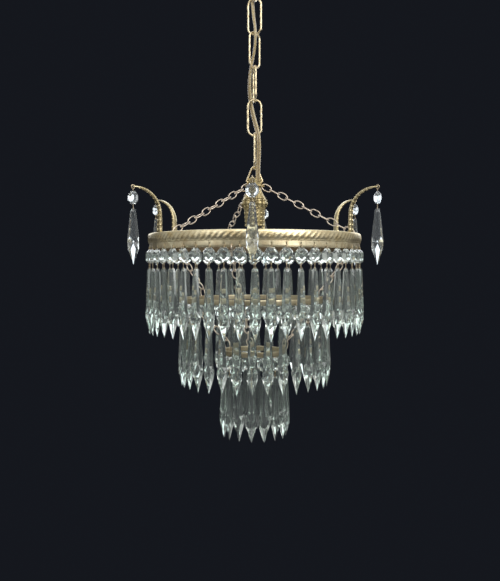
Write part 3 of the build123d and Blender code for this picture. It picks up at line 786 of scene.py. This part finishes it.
def build_crown():
    """The crown's three embossed parts; each has as many leaves, gadroons or beads round as flutes."""
    def wave(a, start=0.0):
        """1 along the middle of each flute and 0 between two."""
        return np.abs(np.cos(a * flutes / 2 + start))

    def leaves(a, s):
        """Upright leaves with a groove down the middle of each, proudest halfway down."""
        groove_shade = 0.3 * np.exp(-((wave(a) - 1) / 0.03) ** 2)
        return 0.9 * wave(a) ** 0.6 * np.sin(np.pi * np.clip(s * 1.05, 0, 1)) - groove_shade

    def leaf_hollow(a, s):
        return (1 - wave(a) ** 0.6) * np.sin(np.pi * s)

    bottom, top = heights("crown_shoulder")
    depth = top - bottom
    turned(
        [(0.5, top), (6.4, top), (6.8, top - 0.16 * depth), (7.6, top - 0.34 * depth),
         (9.2, top - 0.6 * depth), (11.6, top - 0.86 * depth), (13.0, bottom), (0.5, bottom)],
        leaves, "leafed_shoulder", "crown_shoulder", leaf_hollow,
    )

    def knuckles(a, s):
        """Rounded gadroons round the collar, with a fine bead row above them."""
        lobe = wave(a, 0.4) ** 0.8 * np.exp(-((s - 0.52) / 0.22) ** 2)
        beads = 0.35 * np.abs(np.sin(a * 20)) * np.exp(-((s - 0.36) / 0.035) ** 2)
        return 1.5 * lobe + beads - 0.9

    def knuckle_hollow(a, s):
        return (1 - wave(a, 0.4) ** 0.8) * np.exp(-((s - 0.52) / 0.28) ** 2)

    bottom, top = heights("crown_collar")
    depth = top - bottom
    turned(
        [(0.5, top), (12.8, top), (14.6, top - 0.10 * depth), (14.9, top - 0.2 * depth),
         (14.2, top - 0.27 * depth), (15.2, top - 0.4 * depth), (15.3, top - 0.6 * depth),
         (14.8, top - 0.8 * depth), (13.4, bottom), (0.5, bottom)],
        knuckles, "gadrooned_collar", "crown_collar", knuckle_hollow,
    )
    bottom, top = heights("crown_sleeve")
    columns, rows = 288, 90
    top_radius, bottom_radius, wall = 11.9, 10.3, 1.0
    bead_rows, bead_radius = 4.6, 1.4
    a = all_round(columns)[None]
    s = np.linspace(0, 1, rows)[:, None]
    base = top_radius + (bottom_radius - top_radius) * s
    across = ((a / TAU * flutes) % 1 - 0.5) * TAU / flutes * base
    down = ((s * bead_rows + 0.1) % 1 - 0.5) * abs(top - bottom) / bead_rows
    beads = np.clip(1 - (across ** 2 + down ** 2) / bead_radius ** 2, 0, 1) ** 0.5
    panels = 0.45 * wave(a) ** 0.4
    rims = 0.55 * np.exp(-((s - 0.04) / 0.03) ** 2) + 0.45 * np.exp(-((s - 0.96) / 0.03) ** 2)
    r = base + 1.1 * beads + panels + rims
    z = top + (bottom - top) * s + 0 * a
    inside = round_axis(base - wall, a, z)[::-1]
    points = np.concatenate([round_axis(r, a, z), inside]).reshape(-1, 3)
    faces = lattice(2 * rows, columns, close_rows=True)
    hollow = np.concatenate([np.clip(1 - beads * 1.5 - panels * 1.9, 0, 1) + 0 * r, 0 * r])
    make_piece(
        "embossed_sleeve", points, outward(points, faces), "chandelier", crown_gilt, "crown_gilt",
        ["crown_sleeve"], hollow=hollow,
    )


build_crown()
for node, finish in (
    ("crown_cap", crown_gilt),
    ("chain_plate", crown_gilt),
    ("lampholder", holder_shell),
    ("ceiling_plate", fitting_gilt),
    ("cord_grip", fitting_gilt),
):
    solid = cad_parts[node]
    solid.data.materials.clear()
    solid.data.materials.append(finish)


# ---- suspension chain ----------------------------------------------------------------------------
def stadium(half_width, half_length, steps):
    """Points round a long link's middle line: two half-circles and the straights between them."""
    a = np.linspace(0, math.pi, steps)
    leg = half_length - half_width
    top = np.stack([half_width * np.cos(a), leg + half_width * np.sin(a)], 1)
    side = np.linspace(leg, -leg, steps)[1:-1]
    left = np.stack([np.full(steps - 2, -half_width), side], 1)
    low = -top
    right = np.stack([np.full(steps - 2, half_width), -side], 1)
    return np.concatenate([top, left, low, right])


def build_chain():
    """Each link is wire swept round a stadium; hammer marks are broad shallow flats: the wire's
    radius follows a product of two slow waves along and round it, with seeded phases per link."""
    sides, flat_depth, wave_depth, deepest, proudest = 12, 0.12, 0.025, -0.26, 0.06
    for k, bearing in enumerate(link_bearings):
        chance = np.random.default_rng(40 + k)
        loop = stadium((link_width - link_wire) / 2, link_reach / 2, 30)
        lay = about_z(bearing)[:, 0]
        centre = UP * (first_link_z - link_pitch * k - link_reach / 2)
        path = centre + loop[:, :1] * lay + loop[:, 1:] * UP
        run = np.arange(len(path))[:, None] / len(path) * TAU
        around = np.arange(sides)[None] / sides * TAU
        flats = np.cos(run * 11 + around + chance.uniform(0, TAU))
        flats = flats + np.cos(run * 12 - around + chance.uniform(0, TAU))
        waves = sum(
            np.cos(run * chance.integers(16, 34) + around * chance.integers(1, 4) + chance.uniform(0, TAU))
            for _ in range(2)
        )
        ripple = np.clip(flats * flat_depth + waves * wave_depth, deepest, proudest)
        link = tube(path, link_wire / 2, sides, True, np.cross(lay, UP), ripple=ripple)
        make_piece(
            f"hammered_link_{k + 1}", *link, f"link_{k + 1}", chain_gilt, "chain_gilt",
            [f"chain_link_{k + 1}"],
        )


def build_eye():
    """The eye is wire swept round a circle, on a shank that flares into the plate."""
    lay = about_z(eye_bearing)[:, 0]
    a = all_round(48)
    circle = np.cos(a)[:, None] * lay + np.sin(a)[:, None] * UP
    ring = tube(UP * eye_z + eye_radius * circle, eye_wire / 2, 14, True, np.cross(lay, UP))
    z = np.array([-3.0, -4.0, -5.2, -7.0, -10.0, eye_z + eye_radius - 0.4])
    r = np.array([2.4, 2.4, 2.3, 2.0, 2.0, 2.2])
    shank = tube(z[:, None] * UP, r, 24)
    make_piece("welded_eye", *join([ring, shank]), "ceiling", fitting_gilt, "fitting_gilt", ["ceiling_eye"])


def build_bail():
    """Wire bent into a tall loop: straight legs to a round top, feet turned in to the cap."""
    pivot = heights("bail")[0] + link_wire / 2
    corners = np.array([
        [-bail_foot, pivot], [-bail_half_span, pivot], [0, pivot + bail_rise], [bail_half_span, pivot],
        [bail_foot, pivot],
    ])
    line = [corners[0]]
    for k, radius in ((1, bail_foot_bend), (2, bail_top_bend), (3, bail_foot_bend)):
        before, corner, after = corners[k - 1], corners[k], corners[k + 1]
        u = (before - corner) / np.linalg.norm(before - corner)
        v = (after - corner) / np.linalg.norm(after - corner)
        half = math.acos(np.clip(u @ v, -1, 1)) / 2
        centre = corner + (u + v) / np.linalg.norm(u + v) * radius / math.sin(half)
        start, end = corner + u * radius / math.tan(half), corner + v * radius / math.tan(half)
        a0, a1 = math.atan2(*(start - centre)[::-1]), math.atan2(*(end - centre)[::-1])
        turn = (a1 - a0 + math.pi) % TAU - math.pi
        arc = a0 + turn * np.linspace(0, 1, 14)
        line += list(centre + radius * np.stack([np.cos(arc), np.sin(arc)], 1))
    line.append(corners[-1])
    line = np.array(line)
    path = np.stack([line[:, 0], 0 * line[:, 0], line[:, 1]], 1)
    make_piece("wire_bail", *tube(path, link_wire / 2), "bail", chain_gilt, "chain_gilt", ["bail"])


build_chain()
build_eye()
build_bail()


# ---- small chains --------------------------------------------------------------------------------
def oval(start, end, flat):
    """One oval link of round wire; start and end are the middles of its end wires."""
    along = end - start
    length = np.linalg.norm(along)
    along /= length
    across = np.cross(flat, along)
    a = all_round(18)
    x = length / 2 * np.sign(np.cos(a)) * np.abs(np.cos(a)) ** 0.86
    y = oval_half_width * np.sign(np.sin(a)) * np.abs(np.sin(a)) ** 0.92
    path = (start + end) / 2 + x[:, None] * along + y[:, None] * across
    return tube(path, oval_wire / 2, 7, True, flat)


def run_of_links(start, end, count, bearing, first_radial):
    """Links between two end-wire middles, alternately in the radial plane and across it."""
    hook = oval_wire + oval_gap
    along = (end - start) / np.linalg.norm(end - start)
    pitch = (np.linalg.norm(end - start) - hook) / count
    across = on_circle(1, bearing + 90, 0)
    links = []
    for k in range(count):
        near = start + along * (pitch * k)
        radial = (k % 2 == 0) == first_radial
        flat = across if radial else np.cross(along, across)
        links.append(oval(near, near + along * (pitch + hook), flat))
    return links


def nearest_gap(bearing, tier):
    """The bearing midway between two drops of a tier that is nearest to the one given."""
    step = 360 / tier_counts[tier]
    return (round((bearing - tier_turns[tier]) / step - 0.5) + 0.5) * step + tier_turns[tier]


def build_small_chains():
    """Three chains from the crown to the band's lip, then three strands from each strip to the next."""
    plate_z = sum(heights("chain_plate")) / 2
    lip = band_inner - band_lip
    for k, bearing in enumerate(upper_bearings, 1):
        top = on_circle(chain_plate_radius - chain_hole_inset, bearing, plate_z)
        foot = on_circle(lip + chain_hole_inset, bearing, band_top - 0.6)
        links = run_of_links(top, foot, upper_links, bearing, True)
        make_piece(
            f"oval_chain_{k}", *join(links), "chandelier", small_chain, "small_chain", [f"upper_chain_{k}"]
        )
    strips = [heights(n) for n in ("top_strip", "middle_ring", "bottom_ring")]
    reach = oval_pitch + oval_wire + oval_gap
    lean = math.radians(end_link_lean)
    hook = oval_wire + oval_gap
    for name, tier, bearings in (("middle_chains", 0, middle_bearings), ("lower_chains", 1, lower_bearings)):
        links = []
        for wanted in bearings:
            bearing = nearest_gap(wanted, tier)
            drop = on_circle(-math.sin(lean), bearing, -math.cos(lean))
            top_z, foot_z = strips[tier][0] + strip_hole_inset, strips[tier + 1][1] - strip_hole_inset
            top = on_circle(ring_radii[tier] - ring_wall / 2, bearing, top_z)
            foot = on_circle(ring_radii[tier + 1] - ring_wall / 2, bearing, foot_z)
            top_end, foot_end = top + drop * reach, foot - drop * reach
            along = (foot_end - top_end) / np.linalg.norm(foot_end - top_end)
            across = on_circle(1, bearing + 90, 0)
            links += [oval(top, top_end, across), oval(foot_end, foot, across)]
            start, end = top_end - along * hook, foot_end + along * hook
            links += run_of_links(start, end, strand_links, bearing, False)
        make_piece(f"oval_{name}", *join(links), "chandelier", small_chain, "small_chain", [name])


build_small_chains()


# ---- flex ----------------------------------------------------------------------------------------
def flex_line():
    """The route as a smooth NURBS line, read back as points in metres."""
    curve = bpy.data.curves.new("flex_route", "CURVE")
    curve.dimensions = "3D"
    curve.resolution_u = 14
    spline = curve.splines.new("NURBS")
    spline.points.add(len(flex_route) - 1)
    for point, place in zip(spline.points, flex_route):
        point.co = (place[0] * MM, place[1] * MM, place[2] * MM, 1.0)
    spline.order_u = 3
    spline.use_endpoint_u = True
    holder = bpy.data.objects.new("flex_route", curve)
    mesh = bpy.data.meshes.new_from_object(holder)
    line = np.array([v.co[:] for v in mesh.vertices])
    bpy.data.objects.remove(holder)
    bpy.data.curves.remove(curve)
    bpy.data.meshes.remove(mesh)
    return line


def build_flex():
    """The twin flex's section is two circles side by side with a groove between them, swept along
    the line and turning slowly: radius = offset x |cos| + the root of core squared less the square
    of offset x sin. It is cut at the middle of each link."""
    sides, core, offset, first_turn, turn_per_mm = 24, 1.42, 1.16, 0.35, 0.011
    around = np.arange(sides) / sides
    section = offset * np.abs(np.cos(TAU * around))
    section = section + np.sqrt(core ** 2 - (offset * np.sin(TAU * around)) ** 2)
    line = flex_line() / MM
    step = np.linalg.norm(np.diff(line, axis=0), axis=1)
    along = np.append(0, np.cumsum(step))
    fine = np.linspace(0, along[-1], 420)
    line = np.stack([np.interp(fine, along, line[:, k]) for k in range(3)], 1)
    cuts = [first_link_z - link_pitch * k - link_reach / 2 for k in range(6)]
    joints = [eye_z - eye_radius] + [first_link_z - link_pitch * k - link_reach for k in range(6)]
    ends = [line[0, 2] + 1] + cuts + [line[-1, 2] - 1]
    for k in range(7):
        inside = np.where((line[:, 2] <= ends[k]) & (line[:, 2] >= ends[k + 1]))[0]
        first, last = inside[0], min(inside[-1] + 1, len(line) - 1)
        path = line[first:last + 1]
        run = fine[first:last + 1]
        points, faces = tube(path, 0.0, sides, twist=first_turn + run * turn_per_mm, ripple=section)
        uv = np.stack(np.broadcast_arrays(around[None], run[:, None] * MM), -1)
        piece = make_piece(f"flex_run_{k + 1}", points, faces, None, flex_sheath, "flex_sheath", uv=uv)
        (joints[k] + 5) * MM
        (joints[k] - 5) * MM
        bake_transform(piece)
        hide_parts("lamp_flex")


build_flex()


# ---- studio --------------------------------------------------------------------------------------
def build_floor():
    """A plain pale disc well below the light."""
    radius, z = 1500.0, -1500.0
    a = all_round(64)
    points = np.stack([radius * np.cos(a), radius * np.sin(a), np.full(64, z)], 1)
    mesh = bpy.data.meshes.new("floor")
    mesh.from_pydata((points * MM).tolist(), [], [list(range(64))])
    f = Finish("floor_paint")
    mesh.materials.append(f.surface(Base_Color=(0.72, 0.71, 0.69, 1.0), Roughness=0.8))
    floor = bpy.data.objects.new("floor", mesh)
    bpy.context.scene.collection.objects.link(floor)


def lamp(name, place, aim, size, glow, colour=(1, 1, 1)):
    """A soft rectangular panel facing a point; glow is how bright its face looks, 1 being white."""
    data = bpy.data.lights.new(name, "AREA")
    data.shape = "RECTANGLE"
    data.size, data.size_y = size
    data.energy = glow * math.pi * size[0] * size[1]
    data.color = colour
    light = bpy.data.objects.new(name, data)
    light.location = place
    direction = np.array(aim) - np.array(place)
    light.rotation_euler = Vector(direction).to_track_quat("-Z", "Y").to_euler()
    light.visible_camera = False
    bpy.context.scene.collection.objects.link(light)


def build_world():
    """Soft pale room light for matt surfaces; the camera, gloss and glass see the dark backdrop."""
    world = bpy.data.worlds.new("studio")
    bpy.context.scene.world = world
    world.use_nodes = True
    tree = world.node_tree
    tree.nodes.clear()
    out = tree.nodes.new("ShaderNodeOutputWorld")
    path = tree.nodes.new("ShaderNodeLightPath")
    camera, gloss, glass = (
        Value(tree, path.outputs[f"Is {kind} Ray"]) for kind in ("Camera", "Glossy", "Transmission")
    )
    seen = (camera + gloss + glass).held()
    mix = tree.nodes.new("ShaderNodeMixShader")
    tree.links.new(seen.socket, mix.inputs[0])
    for slot, colour, strength in (
        (1, (0.9, 0.92, 1.0, 1.0), 0.35), (2, (0.0075, 0.0088, 0.0125, 1.0), 1.0)
    ):
        light = tree.nodes.new("ShaderNodeBackground")
        light.inputs[0].default_value = colour
        light.inputs[1].default_value = strength
        tree.links.new(light.outputs[0], mix.inputs[slot])
    tree.links.new(mix.outputs[0], out.inputs[0])


def build_camera():
    """The camera stands in front, level with the lower half, and looks down by tilt degrees."""
    lens, place, tilt = 51.984, (-0.0054, -0.86, -0.386), 1.63
    data = bpy.data.cameras.new("camera")
    data.sensor_fit = "HORIZONTAL"
    data.sensor_width = 36.0
    data.lens = lens
    camera = bpy.data.objects.new("camera", data)
    camera.location = place
    camera.rotation_euler = (math.radians(90 - tilt), 0, 0)
    bpy.context.scene.collection.objects.link(camera)
    bpy.context.scene.camera = camera


middle = (0, 0, -0.40)
build_floor()
build_world()
build_camera()
lamp("ceiling_soft", (0.0, 0.1, 0.75), middle, (2.6, 2.2), 0.85)
lamp("low_back", (0.1, 1.35, 0.18), middle, (2.6, 0.8), 2.4, (0.90, 0.94, 1.0))
lamp("left_wall", (-1.45, -0.2, 0.0), middle, (2.0, 1.4), 0.38)
lamp("right_wall", (1.45, -0.2, 0.05), middle, (2.0, 1.4), 0.48, (1.0, 0.98, 0.95))
lamp("front_right", (0.95, -1.30, 0.20), middle, (0.9, 1.0), 2.9)
lamp("front_left", (-1.15, -1.20, 0.15), middle, (0.7, 1.0), 1.6)
lamp("front_window", (0.35, -1.5, 0.80), middle, (2.4, 1.2), 2.6, (1.0, 0.98, 0.95))
bpy.context.scene.view_settings.view_transform = "Standard"
